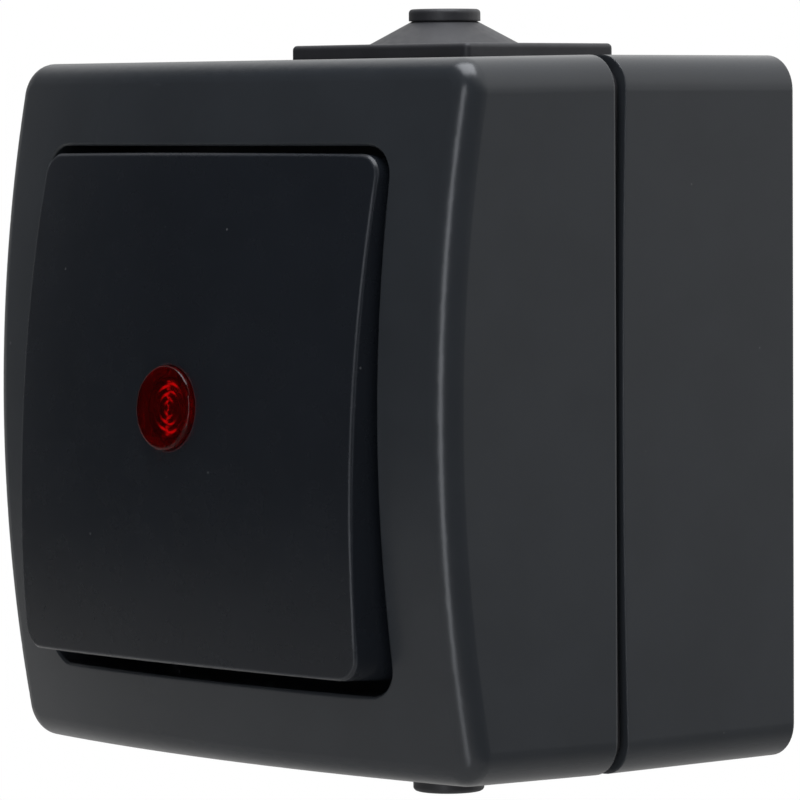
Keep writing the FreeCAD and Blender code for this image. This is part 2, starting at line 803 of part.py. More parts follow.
def at_rest_lever(shape):
    """The shape turned with the lever to its rest position, lower contact closed."""
    shape.rotate(V(0, -lever_pivot, 0), ACROSS, lever_ratio * rocker_tilt)
    return shape


def at_rest_rocker(shape):
    """The shape turned with the rocker to its rest position, upper end pressed in."""
    shape.rotate(V(0, -pivot_depth, 0), ACROSS, -rocker_tilt)
    return shape


def rocker():
    """Hollow rocker with a bowed front, pads and clips for the cradle, and a seat for the lens."""
    form = barrel(rocker_front, rocker_bow_radius, cover_crown_radius)
    outer = slab(rocker_width, rocker_height, rocker_corner, rocker_back, lens_front).common(form)
    outer = outer.makeChamfer(rocker_chamfer, front_face(outer).OuterWire.Edges)
    inner_form = barrel(
        rocker_front - rocker_wall, rocker_bow_radius - rocker_wall, cover_crown_radius - rocker_wall)
    hollow = slab(
        rocker_width - 2 * rocker_wall, rocker_height - 2 * rocker_wall,
        max(rocker_corner - rocker_wall, 0.2), rocker_back, rocker_front)
    shell = outer.cut(hollow.common(inner_form))
    seat_radius = lens_flange_radius + lens_seat_width
    carried = [rod(0, 0, seat_radius, lens_seat, rocker_front)]
    for x in (-rocker_pad_x, rocker_pad_x):
        for z in (-rocker_pad_z, rocker_pad_z):
            carried.append(rod(x, z, rocker_pad_radius, cradle_front, rocker_front))
    hook_far = cradle_back - clip_clearance
    hook_near = hook_far - clip_hook_height
    inside = cradle_height / 2 + clip_clearance
    for side in (-1, 1):
        low, high = sorted((side * inside, side * (inside + clip_thickness)))
        carried.append(box(-clip_half_width, clip_half_width, hook_near, rocker_front, low, high))
        low, high = sorted((side * (inside - clip_hook), side * (inside + clip_thickness)))
        carried.append(box(-clip_half_width, clip_half_width, hook_near, hook_far, low, high))
    filling = barrel(rocker_front - rocker_wall / 2, rocker_bow_radius, cover_crown_radius)
    shell = shell.fuse([piece.common(filling) for piece in carried])
    shell = shell.cut(rod(0, 0, lens_radius + lens_clearance, rocker_back, lens_front))
    return at_rest_rocker(shell.removeSplitter())


def lens():
    """Cap-shaped lens with a flange, a rounded edge and concentric rings inside its window."""
    bore = lens_radius - lens_wall
    window_back = lens_front - lens_window
    profile = [(0, lens_front), (lens_radius, lens_front), (lens_radius, lens_seat)]
    profile += [(lens_flange_radius, lens_seat), (lens_flange_radius, lens_back), (bore, lens_back)]
    pitch = bore / lens_ring_count
    for ring in range(lens_ring_count, 0, -1):
        profile.append((ring * pitch, window_back))
        profile.append(((ring - 0.5) * pitch, window_back + lens_ring_height))
    profile.append((0, window_back))
    cap = turned(profile, 0, 0)
    rim = [e for e in cap.Edges if all(abs(v.Y + lens_front) < 1e-6 for v in e.Vertexes)]
    return at_rest_rocker(cap.makeFillet(lens_edge_round, rim))


def rocker_cradle():
    """Frame under the rocker with two trunnions, a collar behind the lens and the plunger guide."""
    half = cradle_width / 2
    plate = slab(cradle_width, cradle_height, cradle_corner, cradle_back, cradle_front)
    collar = rod(0, 0, lens_radius + cradle_collar_wall, cradle_back, lens_back)
    guide = rod(plunger_x, 0, plunger_guide_radius, plunger_guide_back, cradle_back)
    pieces = [collar, guide]
    trunnion_tip = ear_outer - trunnion_end_gap
    for side in (-1, 1):
        low, high = sorted((side * (half - cradle_cheek), side * half))
        pieces.append(box(low, high, pivot_depth, cradle_back, -cradle_cheek_radius, cradle_cheek_radius))
        pieces.append(cross_rod(low, high, pivot_depth, 0, cradle_cheek_radius))
        low, high = sorted((side * (half - cradle_cheek), side * trunnion_tip))
        pieces.append(cross_rod(low, high, pivot_depth, 0, pivot_radius))
    cradle = plate.fuse(pieces)
    bore = rod(plunger_x, 0, plunger_radius + running_clearance, plunger_guide_back, cradle_back)
    window = rod(0, 0, lens_radius + lens_clearance, cradle_back, lens_back)
    return at_rest_rocker(cradle.cut([bore, window]).removeSplitter())


def plunger():
    """Pin with a rounded tip that slides in the cradle's guide, and a spigot for its spring."""
    tip_middle = plunger_tip + plunger_radius
    pin = rod(plunger_x, 0, plunger_radius, tip_middle, plunger_top)
    tip = Part.makeSphere(plunger_radius, V(plunger_x, -tip_middle, 0))
    spigot = rod(plunger_x, 0, plunger_spigot_radius, tip_middle, plunger_top + plunger_spigot)
    return at_rest_rocker(pin.fuse([tip, spigot]).removeSplitter())


def plunger_spring():
    """Coil spring between the plunger's shoulder and the end of its guide."""
    inset = spring_wire_radius + spring_end_gap
    length = cradle_back - plunger_top - 2 * inset
    helix = Part.makeHelix(length / spring_turns, length, spring_coil_radius)
    start = helix.Edges[0].valueAt(helix.Edges[0].FirstParameter)
    heading = helix.Edges[0].tangentAt(helix.Edges[0].FirstParameter)
    across = heading.cross(UPWARD).normalize() * spring_wire_radius
    corners = []
    for side in range(spring_wire_sides):
        turn = FreeCAD.Rotation(heading, 360 * side / spring_wire_sides)
        corners.append(start + turn.multVec(across))
    section = Part.makePolygon(corners + corners[:1])
    coil = helix.makePipeShell([section], True, True)
    coil.rotate(ORIGIN, ACROSS, 90)
    coil.translate(V(plunger_x, -plunger_top - inset, 0))
    return at_rest_rocker(coil)


PIECES = [
    rear_box, front_cover, housing_seal, top_cable_grommet, bottom_cable_grommet, cover_screws,
    cover_screw_seals, support_plate, plate_screws, switch_base, switch_back, insert_seal, common_strip,
    upper_contact_strip, lower_contact_strip, neutral_strip, fixed_contact_tips, terminal_blocks,
    terminal_screws, lamp_holder, lamp, lamp_leads, contact_lever, lever_contact_tips, rocker, lens,
    rocker_cradle, plunger, plunger_spring]

os.makedirs("parts", exist_ok=True)
for piece in PIECES:
    solid = piece()
    solid.exportStep("parts/" + piece.__name__ + ".step")
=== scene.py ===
"""Looks of a surface-mounted weatherproof rocker switch with a red pilot lens.

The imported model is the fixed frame. Lengths are metres, the wall is the plane Y = 0, the front
faces -Y, +Z is up and the origin is the centre of the back face.
"""
import json
import logging
import math
from dataclasses import dataclass
from enum import Enum
from typing import Protocol

import bpy
from mathutils import Matrix, Vector


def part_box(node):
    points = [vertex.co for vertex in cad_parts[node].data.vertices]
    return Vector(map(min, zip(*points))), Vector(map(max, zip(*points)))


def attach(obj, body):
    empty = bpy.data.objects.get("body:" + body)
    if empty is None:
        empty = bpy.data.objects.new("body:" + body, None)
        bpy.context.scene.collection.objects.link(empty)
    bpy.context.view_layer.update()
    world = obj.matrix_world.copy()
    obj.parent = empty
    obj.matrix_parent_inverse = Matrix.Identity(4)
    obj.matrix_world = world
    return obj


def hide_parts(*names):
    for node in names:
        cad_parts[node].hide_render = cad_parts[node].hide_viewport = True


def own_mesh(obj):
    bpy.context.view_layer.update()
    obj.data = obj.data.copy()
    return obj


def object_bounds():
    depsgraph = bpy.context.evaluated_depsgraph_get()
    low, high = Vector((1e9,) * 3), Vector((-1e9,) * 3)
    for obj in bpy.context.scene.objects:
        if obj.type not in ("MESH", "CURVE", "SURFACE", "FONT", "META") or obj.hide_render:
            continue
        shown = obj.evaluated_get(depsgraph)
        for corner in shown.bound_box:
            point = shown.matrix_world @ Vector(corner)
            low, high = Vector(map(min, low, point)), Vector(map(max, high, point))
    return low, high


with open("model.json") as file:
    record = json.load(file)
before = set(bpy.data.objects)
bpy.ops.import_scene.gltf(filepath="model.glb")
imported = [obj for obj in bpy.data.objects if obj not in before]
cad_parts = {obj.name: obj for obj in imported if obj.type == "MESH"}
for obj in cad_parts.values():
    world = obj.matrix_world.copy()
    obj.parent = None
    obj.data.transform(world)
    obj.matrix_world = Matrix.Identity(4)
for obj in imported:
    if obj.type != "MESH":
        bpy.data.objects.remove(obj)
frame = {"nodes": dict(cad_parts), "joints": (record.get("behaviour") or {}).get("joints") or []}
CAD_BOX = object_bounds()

log = logging.getLogger("switch")

MM = 0.001
WIRE_ROUNDNESS = 4

Colour = tuple[float, float, float]
Point = tuple[float, float, float]
Range = tuple[float, float]
Face = tuple[int, ...]
Socket = bpy.types.NodeSocket


class Body(str, Enum):
    """The rigid bodies that new pieces ride on."""

    HOUSING = "housing"
    ROCKER = "rocker"


class Slot(str, Enum):
    """The record's material slots."""

    ANTHRACITE = "anthracite_plastic"
    ROCKER = "rocker_plastic"
    LENS = "red_lens"
    RUBBER = "black_rubber"
    ZINC = "zinc_steel"
    SPRING = "spring_steel"
    INSULATOR = "insulator"
    CRADLE = "cradle_plastic"
    BRASS = "brass"
    SILVER = "contact_silver"
    GLASS = "lamp_glass"


class NodeKit:
    """Short calls that place and join the nodes of one tree."""

    def __init__(self, tree: bpy.types.NodeTree) -> None:
        """Works on a node tree."""
        self.tree = tree

    def node(self, kind: str, **settings: object) -> bpy.types.Node:
        """Adds a node.

        Args:
            kind: The node's type.
            settings: Properties to set on it.

        Returns:
            The new node.
        """
        made = self.tree.nodes.new(kind)
        for key, value in settings.items():
            setattr(made, key, value)
        return made

    def fill(self, socket: Socket, value: object) -> None:
        """Links a socket to an input, or sets a plain value on it.

        Args:
            socket: The input.
            value: A socket, a number, or a colour or vector.
        """
        if isinstance(value, Socket):
            self.tree.links.new(value, socket)
        else:
            socket.default_value = value

    def feed(self, node: bpy.types.Node, **values: object) -> bpy.types.Node:
        """Fills a node's inputs by name.

        Args:
            node: The node to fill.
            values: Inputs, with an underscore for each space in a name.

        Returns:
            The same node.
        """
        for key, value in values.items():
            self.fill(node.inputs[key.replace("_", " ")], value)
        return node

    def spread(
        self, factor: Socket, low: float, high: float, start: float = 0.3, end: float = 0.7
    ) -> Socket:
        """Maps a factor to a range, with soft ends.

        Args:
            factor: The factor.
            low: Result at the start.
            high: Result at the end.
            start: Factor that gives the low result.
            end: Factor that gives the high result.

        Returns:
            The mapped value.
        """
        made = self.node("ShaderNodeMapRange", interpolation_type="SMOOTHSTEP")
        self.feed(made, Value=factor, From_Min=start, From_Max=end, To_Min=low, To_Max=high)
        return made.outputs["Result"]

    def between(self, factor: Socket, none: float, full: float) -> Socket:
        """Goes from one number to another as a factor goes from 0 to 1."""
        return self.spread(factor, none, full, 0.0, 1.0)

    def number(self, operation: str, first: object, second: object) -> Socket:
        """Joins two values by arithmetic, held between 0 and 1.

        Args:
            operation: The Math node's operation.
            first: A socket or a number.
            second: A socket or a number.

        Returns:
            The result.
        """
        made = self.node("ShaderNodeMath", operation=operation, use_clamp=True)
        self.fill(made.inputs[0], first)
        self.fill(made.inputs[1], second)
        return made.outputs[0]

    def dot(self, first: Socket, second: object) -> Socket:
        """Dot product of a vector socket with another vector.

        Args:
            first: A vector socket.
            second: A vector socket or a plain vector.

        Returns:
            The product.
        """
        made = self.node("ShaderNodeVectorMath", operation="DOT_PRODUCT")
        self.fill(made.inputs[0], first)
        self.fill(made.inputs[1], second)
        return made.outputs["Value"]

    def blend(self, factor: Socket, first: Socket | Colour, second: Colour) -> Socket:
        """Mixes two colours.

        Args:
            factor: Share of the second colour.
            first: A socket or a colour.
            second: A colour.

        Returns:
            The mixed colour.
        """
        made = self.node("ShaderNodeMix", data_type="RGBA")
        colours = [socket for socket in made.inputs if socket.type == "RGBA"]
        self.fill(made.inputs["Factor"], factor)
        self.fill(colours[0], first if isinstance(first, Socket) else (*first, 1.0))
        self.fill(colours[1], (*second, 1.0))
        return next(socket for socket in made.outputs if socket.type == "RGBA")


@dataclass(frozen=True)
class Cloud:
    """A noise: the size of its patches, its finer layers, its stretch and how much a finer layer counts."""

    size: float
    detail: float = 2.0
    stretch: Point = (1, 1, 1)
    fineness: float = 0.55


@dataclass(frozen=True)
class Dust:
    """Sparse specks: the distance between the places that may hold one, their size, share and colour."""

    spacing: float = 3.0 * MM
    radius: float = 0.15 * MM
    share: float = 0.12
    colour: Colour = (0.06, 0.062, 0.066)


class SurfaceKit(NodeKit):
    """The node tree of one material, with the textures that its finish is made of."""

    bevel_samples: int = 4
    edge_turn: Range = (0.86, 0.995)

    def __init__(self, name: str) -> None:
        """Starts a material.

        Args:
            name: The material's name.
        """
        self.material = bpy.data.materials.new(name)
        self.material.use_nodes = True
        super().__init__(self.material.node_tree)
        self.shader = self.tree.nodes["Principled BSDF"]
        self.place = self.node("ShaderNodeTexCoord").outputs["Object"]

    def noise(self, cloud: Cloud) -> Socket:
        """Noise in the piece's own space.

        Args:
            cloud: What the noise is like.

        Returns:
            The noise as a factor around a half.
        """
        space = self.feed(self.node("ShaderNodeMapping"), Vector=self.place, Scale=cloud.stretch)
        made = self.feed(self.node("ShaderNodeTexNoise"), Vector=space.outputs[0])
        self.feed(made, Scale=1 / cloud.size, Detail=cloud.detail, Roughness=cloud.fineness)
        return made.outputs["Fac"]

    def two_tone(self, cloud: Cloud, first: Colour, second: Colour) -> Socket:
        """Soft patches of two colours, placed by a noise."""
        return self.blend(self.spread(self.noise(cloud), 0.0, 1.0), first, second)

    def dusted(self, colour: Socket, dust: Dust) -> Socket:
        """Puts round specks of dust on a colour.

        Args:
            colour: The clean colour.
            dust: What the dust is like.

        Returns:
            The colour with its dust.
        """
        cells = self.node("ShaderNodeTexVoronoi", feature="F1")
        self.feed(cells, Vector=self.place, Scale=1 / dust.spacing)
        chance = self.feed(self.node("ShaderNodeSeparateColor"), Color=cells.outputs["Color"])
        held = self.number("LESS_THAN", chance.outputs[0], dust.share)
        rim = dust.radius / dust.spacing
        inside = self.spread(cells.outputs["Distance"], 1.0, 0.0, rim / 2, rim)
        return self.blend(self.number("MULTIPLY", inside, held), colour, dust.colour)

    def rounded(self, radius: float) -> Socket:
        """Normal that rounds every edge by a small radius."""
        made = self.feed(self.node("ShaderNodeBevel", samples=self.bevel_samples), Radius=radius)
        return made.outputs["Normal"]

    def edges(self, soft_normal: Socket) -> Socket:
        """Mask that is 1 along the edges, where a rounded normal leaves the true one."""
        true_normal = self.node("ShaderNodeNewGeometry").outputs["Normal"]
        return self.spread(self.dot(soft_normal, true_normal), 1.0, 0.0, *self.edge_turn)

    def relief(self, height: Socket, depth: float, normal: Socket | None = None) -> Socket:
        """Bumps a surface.

        Args:
            height: The height as a factor.
            depth: Height of a factor of 1, in metres.
            normal: A normal to start from.

        Returns:
            The bumped normal.
        """
        made = self.feed(self.node("ShaderNodeBump"), Height=height, Distance=depth, Strength=1.0)
        if normal is not None:
            self.feed(made, Normal=normal)
        return made.outputs["Normal"]


class Finish(Protocol):
    """A surface finish that makes its own material."""

    def make(self) -> bpy.types.Material:
        """Makes the material."""


@dataclass(frozen=True)
class MouldedPlastic:
    """Satin moulded plastic with a fine grain, slight mottling, lighter edges that stand for wear and a
    painted highlight, and a little dust.
    """

    name: str
    colour: Colour
    # Lighter colour for the edges: partly wear, partly a painted highlight.
    edge_wear_and_highlight_colour: Colour
    roughness: Range
    specular: float = 0.5
    mottle: float = 0.05
    mottle_cloud: Cloud = Cloud(9.0 * MM, detail=4.0)
    gloss_cloud: Cloud = Cloud(2.5 * MM, detail=3.0)
    grain_cloud: Cloud = Cloud(0.16 * MM)
    grain_depth: float = 0.0012 * MM
    edge_radius: float = 0.28 * MM
    edge_polish: float = 0.8
    dust: Dust = Dust()

    def make(self) -> bpy.types.Material:
        """Makes the material.

        Returns:
            The material.
        """
        kit = SurfaceKit(self.name)
        soft = kit.rounded(self.edge_radius)
        worn_and_lit_edges = kit.edges(soft)
        dark = tuple(channel * (1 - self.mottle) for channel in self.colour)
        light = tuple(channel * (1 + self.mottle) for channel in self.colour)
        colour = kit.two_tone(self.mottle_cloud, dark, light)
        # Lighter colour along the edges: partly wear, partly a painted highlight.
        colour = kit.blend(worn_and_lit_edges, colour, self.edge_wear_and_highlight_colour)
        colour = kit.dusted(colour, self.dust)
        patches = kit.spread(kit.noise(self.gloss_cloud), *self.roughness)
        rough = kit.number("MULTIPLY", patches, kit.between(worn_and_lit_edges, 1.0, self.edge_polish))
        grain = kit.relief(kit.noise(self.grain_cloud), self.grain_depth, soft)
        kit.feed(kit.shader, Base_Color=colour, Roughness=rough, Normal=grain)
        kit.feed(kit.shader, Specular_IOR_Level=self.specular)
        return kit.material


@dataclass(frozen=True)
class SoftRubber:
    """Matt black rubber with a dry bloom and a slightly uneven skin."""

    name: str
    colour: Colour
    bloom: Colour
    roughness: Range = (0.46, 0.54)
    specular: float = 0.5
    edge_radius: float = 0.2 * MM
    bloom_cloud: Cloud = Cloud(3.0 * MM, detail=3.0)
    gloss_cloud: Cloud = Cloud(0.9 * MM)
    skin_cloud: Cloud = Cloud(0.18 * MM)
    skin_depth: float = 0.0015 * MM
    dust: Dust = Dust(spacing=2.2 * MM, radius=0.1 * MM, colour=(0.06, 0.06, 0.06))

    def make(self) -> bpy.types.Material:
        """Makes the material.

        Returns:
            The material.
        """
        kit = SurfaceKit(self.name)
        soft = kit.rounded(self.edge_radius)
        colour = kit.two_tone(self.bloom_cloud, self.colour, self.bloom)
        colour = kit.dusted(colour, self.dust)
        skin = kit.relief(kit.noise(self.skin_cloud), self.skin_depth, soft)
        rough = kit.spread(kit.noise(self.gloss_cloud), *self.roughness)
        kit.feed(kit.shader, Base_Color=colour, Roughness=rough, Normal=skin)
        kit.feed(kit.shader, Specular_IOR_Level=self.specular)
        return kit.material


@dataclass(frozen=True)
class ClearMoulding:
    """Clear tinted plastic or glass with faint flow marks."""

    name: str
    colour: Colour
    refraction: float
    roughness: Range = (0.02, 0.07)
    clearness: float = 1.0
    thin_gain: float = 1.15
    tint_cloud: Cloud = Cloud(1.4 * MM, detail=3.0)
    gloss_cloud: Cloud = Cloud(0.6 * MM)
    flow_cloud: Cloud = Cloud(1.1 * MM, detail=1.0)
    flow_depth: float = 0.002 * MM

    def make(self) -> bpy.types.Material:
        """Makes the material.

        Returns:
            The material.
        """
        kit = SurfaceKit(self.name)
        thin = tuple(min(1.0, channel * self.thin_gain) for channel in self.colour)
        colour = kit.two_tone(self.tint_cloud, self.colour, thin)
        flow = kit.relief(kit.noise(self.flow_cloud), self.flow_depth)
        rough = kit.spread(kit.noise(self.gloss_cloud), *self.roughness)
        kit.feed(kit.shader, Base_Color=colour, Roughness=rough, Normal=flow)
        kit.feed(kit.shader, Transmission_Weight=self.clearness, IOR=self.refraction)
        return kit.material


@dataclass(frozen=True)
class BareMetal:
    """Plain or plated metal with drawing lines and patchy tarnish."""

    name: str
    colour: Colour
    tarnish: Colour
    roughness: Range = (0.22, 0.42)
    tarnish_cloud: Cloud = Cloud(1.8 * MM, detail=5.0)
    tarnish_span: Range = (0.35, 0.75)
    line_cloud: Cloud = Cloud(0.35 * MM, detail=3.0, stretch=(1, 1, 14))
    line_depth: float = 0.002 * MM
    edge_radius: float = 0.06 * MM

    def make(self) -> bpy.types.Material:
        """Makes the material.

        Returns:
            The material.
        """
        kit = SurfaceKit(self.name)
        soft = kit.rounded(self.edge_radius)
        dull = kit.spread(kit.noise(self.tarnish_cloud), 0.0, 1.0, *self.tarnish_span)
        colour = kit.blend(dull, self.colour, self.tarnish)
        lines = kit.noise(self.line_cloud)
        normal = kit.relief(lines, self.line_depth, soft)
        rough = kit.spread(lines, *self.roughness)
        kit.feed(kit.shader, Base_Color=colour, Roughness=rough, Normal=normal, Metallic=1.0)
        return kit.material


FINISHES: dict[Slot, Finish] = {
    Slot.ANTHRACITE: MouldedPlastic(
        "anthracite_satin", colour=(0.0236, 0.0268, 0.0312), edge_wear_and_highlight_colour=(0.0295, 0.0335, 0.0390),
        roughness=(0.24, 0.26)),
    # The rocker's edge colour, far lighter than its body, paints a highlight line along its edges.
    Slot.ROCKER: MouldedPlastic(
        "rocker_satin", colour=(0.0096, 0.0116, 0.0154), edge_wear_and_highlight_colour=(0.062, 0.067, 0.076),
        roughness=(0.25, 0.28), specular=0.42, edge_radius=0.33 * MM, dust=Dust(share=0.2)),
    Slot.LENS: ClearMoulding(
        "red_lens", colour=(0.45, 0.0014, 0.0018), refraction=1.30, roughness=(0.09, 0.15),
        clearness=0.975),
    Slot.RUBBER: SoftRubber(
        "black_rubber", colour=(0.0285, 0.0285, 0.0320), bloom=(0.0325, 0.0328, 0.0370)),
    Slot.ZINC: BareMetal("zinc_plate", colour=(0.62, 0.63, 0.66), tarnish=(0.48, 0.47, 0.42)),
    Slot.SPRING: BareMetal(
        "spring_wire", colour=(0.45, 0.45, 0.47), tarnish=(0.32, 0.31, 0.30), roughness=(0.18, 0.3)),
    Slot.INSULATOR: MouldedPlastic(
        "insulator_resin", colour=(0.66, 0.65, 0.62), edge_wear_and_highlight_colour=(0.70, 0.69, 0.66),
        roughness=(0.42, 0.52), mottle=0.04, dust=Dust(colour=(0.40, 0.39, 0.37))),
    Slot.CRADLE: MouldedPlastic(
        "cradle_plastic", colour=(0.52, 0.52, 0.50), edge_wear_and_highlight_colour=(0.55, 0.55, 0.53),
        roughness=(0.36, 0.46), mottle=0.04, dust=Dust(colour=(0.35, 0.35, 0.33))),
    Slot.BRASS: BareMetal("strip_brass", colour=(0.72, 0.55, 0.24), tarnish=(0.50, 0.35, 0.15)),
    Slot.SILVER: BareMetal(
        "contact_silver", colour=(0.86, 0.86, 0.84), tarnish=(0.62, 0.60, 0.56), roughness=(0.15, 0.3)),
    Slot.GLASS: ClearMoulding(
        "lamp_glass", colour=(0.97, 0.91, 0.84), refraction=1.5, roughness=(0.0, 0.03)),
}


class Bench:
    """Makes each finish once, and puts it on nodes and new pieces."""

    def __init__(self) -> None:
        """Makes every finish."""
        self.materials = {slot: finish.make() for slot, finish in FINISHES.items()}

    def dress(self, slot: Slot, *nodes: str) -> None:
        """Gives CAD nodes a finish through their material slots.

        Args:
            slot: The finish.
            nodes: Names of the nodes.
        """
        for node in nodes:
            frame["nodes"][node].material_slots[0].material = self.materials[slot]
            log.info("%s: %s", node, slot.value)

    def seat(self, piece: bpy.types.Object, slot: Slot, body: Body) -> None:
        """Dresses a new piece and lets it ride on a body.

        Args:
            piece: The piece, in place.
            slot: Its finish.
            body: The body that carries it.
        """
        piece.data.materials.append(self.materials[slot])
        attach(piece, body.value)
        log.info("%s: new piece on %s, %s", piece.name, body.value, slot.value)


def smooth_piece(name: str, mesh: bpy.types.Mesh) -> bpy.types.Object:
    """Puts a mesh into the scene with smooth shading.

    Args:
        name: The piece's name.
        mesh: Its mesh.

    Returns:
        The object.
    """
    mesh.name = name
    mesh.shade_smooth()
    piece = bpy.data.objects.new(name, mesh)
    bpy.context.scene.collection.objects.link(piece)
    return piece


def mesh_piece(name: str, points: list[Vector], faces: list[Face]) -> bpy.types.Object:
    """Makes a piece from corners and faces.

    Args:
        name: The piece's name.
        points: Its corners.
        faces: Its faces, as places in the list of corners.

    Returns:
        The object, linked to the scene.
    """
    mesh = bpy.data.meshes.new(name)
    mesh.from_pydata(points, [], faces)
    return smooth_piece(name, mesh)


def wire_piece(name: str, line: list[Vector], radius: float) -> bpy.types.Object:
    """Makes a round wire along a line as a closed mesh.

    Args:
        name: The piece's name.
        line: Points of its centre line.
        radius: Radius of the wire.

    Returns:
        The object, linked to the scene.
    """
    curve = bpy.data.curves.new(name, "CURVE")
    curve.dimensions = "3D"
    curve.bevel_depth = radius
    curve.bevel_resolution = WIRE_ROUNDNESS
    curve.use_fill_caps = True
    spline = curve.splines.new("POLY")
    spline.points.add(len(line) - 1)
    for point, place in zip(spline.points, line):
        point.co = (*place, 1.0)
    maker = bpy.data.objects.new(name, curve)
    bpy.context.scene.collection.objects.link(maker)
    bpy.context.view_layer.update()
    mesh = bpy.data.meshes.new_from_object(maker.evaluated_get(bpy.context.evaluated_depsgraph_get()))
    bpy.data.objects.remove(maker)
    return smooth_piece(name, mesh)


class SubAssembly:
    """A group of pieces that is dressed, and built on where the CAD nodes lack a form."""

    def dress(self, bench: Bench) -> None:
        """Finishes the group's CAD nodes."""

    def build(self, bench: Bench) -> None:
        """Adds the group's own pieces, if it has any."""


@dataclass
class Housing(SubAssembly):
    """Rear box, front cover and the seals between and in them."""

    shell_nodes: tuple[str, ...] = ("rear_box", "front_cover")
    seal_nodes: tuple[str, ...] = ("housing_seal", "cover_screw_seals")
    stray_angle: float = math.radians(14)
    stray_area: float = 0.1 * MM * MM

    def stray_corners(self, mesh: bpy.types.Mesh) -> list[int]:
        """Finds the corners whose shading a sliver pulls away from the faces around them.

        Args:
            mesh: The shell's mesh.

        Returns:
            The corners' places in the mesh.
        """
        found = set()
        for face in mesh.polygons:
            if face.area > self.stray_area:
                for loop, corner in zip(face.loop_indices, face.vertices):
                    if mesh.corner_normals[loop].vector.angle(face.normal) > self.stray_angle:
                        found.add(corner)
        return sorted(found)

    def even(self, shell: bpy.types.Object) -> None:
        """Weighs a shell's shading by the size of its faces where slivers would show.

        Args:
            shell: The shell's node.
        """
        corners = self.stray_corners(shell.data)
        if corners:
            group = shell.vertex_groups.new(name="stray_corners")
            group.add(corners, 1.0, "REPLACE")
            shading = shell.modifiers.new("even_shading", "WEIGHTED_NORMAL")
            shading.mode = "FACE_AREA"
            shading.vertex_group = group.name
        log.info("%s: %d corners shaded anew", shell.name, len(corners))

    def dress(self, bench: Bench) -> None:
        """Finishes the shells and their seals.

        Args:
            bench: Where the finishes are.
        """
        for node in self.shell_nodes:
            self.even(frame["nodes"][node])
        bench.dress(Slot.ANTHRACITE, *self.shell_nodes)
        bench.dress(Slot.RUBBER, *self.seal_nodes)


@dataclass
class CableEntries(SubAssembly):
    """Rubber grommets in the top and bottom walls."""

    nodes: tuple[str, ...] = ("top_cable_grommet", "bottom_cable_grommet")

    def dress(self, bench: Bench) -> None:
        """Finishes the grommets."""
        bench.dress(Slot.RUBBER, *self.nodes)


@dataclass
class RockerGroup(SubAssembly):
    """Rocker, lens and cradle, with the plunger and its spring."""

    spring_radius: float = 1.25 * MM
    wire_radius: float = 0.2 * MM
    working_turns: float = 6.0
    closed_turns: float = 1.0
    turn_steps: int = 28

    def dress(self, bench: Bench) -> None:
        """Finishes the rocker's pieces.

        Args:
            bench: Where the finishes are.
        """
        bench.dress(Slot.ROCKER, "rocker")
        bench.dress(Slot.LENS, "lens")
        bench.dress(Slot.CRADLE, "rocker_cradle", "plunger")

    def spring_line(self, start: Vector, end: Vector) -> list[Vector]:
        """Centre line of a compression spring with closed end turns.

        Args:
            start: Middle of its first turn.
            end: Middle of its last turn.

        Returns:
            Points of the line.
        """
        axis = end - start
        upright = axis.to_track_quat("Z", "X").to_matrix()
        turns = self.working_turns + 2 * self.closed_turns
        wire = 2 * self.wire_radius
        open_rise = axis.length - 2 * wire * self.closed_turns
        line = []
        for step in range(int(turns * self.turn_steps) + 1):
            turn = step / self.turn_steps
            opened = min(max(turn - self.closed_turns, 0.0), self.working_turns)
            height = opened / self.working_turns * open_rise + (turn - opened) * wire
            angle = 2 * math.pi * turn
            spot = Vector((math.cos(angle), math.sin(angle), 0)) * self.spring_radius
            line.append(start + upright @ (spot + Vector((0, 0, height))))
        return line

    def build(self, bench: Bench) -> None:
        """Winds the plunger's spring in round wire and lets it ride on the rocker.

        Args:
            bench: Where the finishes are.
        """
        slide = next(joint for joint in frame["joints"] if joint["name"] == "plunger_slide")
        axis = Vector(slide["axis"]).normalized()
        lean = abs(axis.z / axis.y)
        low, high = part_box("plunger_spring")
        middle = (low + high) / 2
        half = (high.y - low.y) / 2 / abs(axis.y)
        half -= self.spring_radius * lean + self.wire_radius * (1 + lean)
        start, end = middle - axis * half, middle + axis * half
        spring = wire_piece("plunger_coil", self.spring_line(start, end), self.wire_radius)
        bench.seat(spring, Slot.SPRING, Body.ROCKER)
        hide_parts("plunger_spring")
        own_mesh(spring)


@dataclass
class SwitchInsert(SubAssembly):
    """Insulating base and back, their seal and the steel plate that carries them."""

    resin_nodes: tuple[str, ...] = ("switch_base", "switch_back", "lamp_holder")

    def dress(self, bench: Bench) -> None:
        """Finishes the insert.

        Args:
            bench: Where the finishes are.
        """
        bench.dress(Slot.INSULATOR, *self.resin_nodes)
        bench.dress(Slot.RUBBER, "insert_seal")
        bench.dress(Slot.ZINC, "support_plate")


@dataclass
class ContactSet(SubAssembly):
    """Strips, terminals, rocking lever and contact tips."""

    brass_nodes: tuple[str, ...] = (
        "common_strip", "upper_contact_strip", "lower_contact_strip", "neutral_strip", "terminal_blocks",
        "contact_lever")
    tip_nodes: tuple[str, ...] = ("fixed_contact_tips", "lever_contact_tips")

    def dress(self, bench: Bench) -> None:
        """Finishes the contacts."""
        bench.dress(Slot.BRASS, *self.brass_nodes)
        bench.dress(Slot.SILVER, *self.tip_nodes)


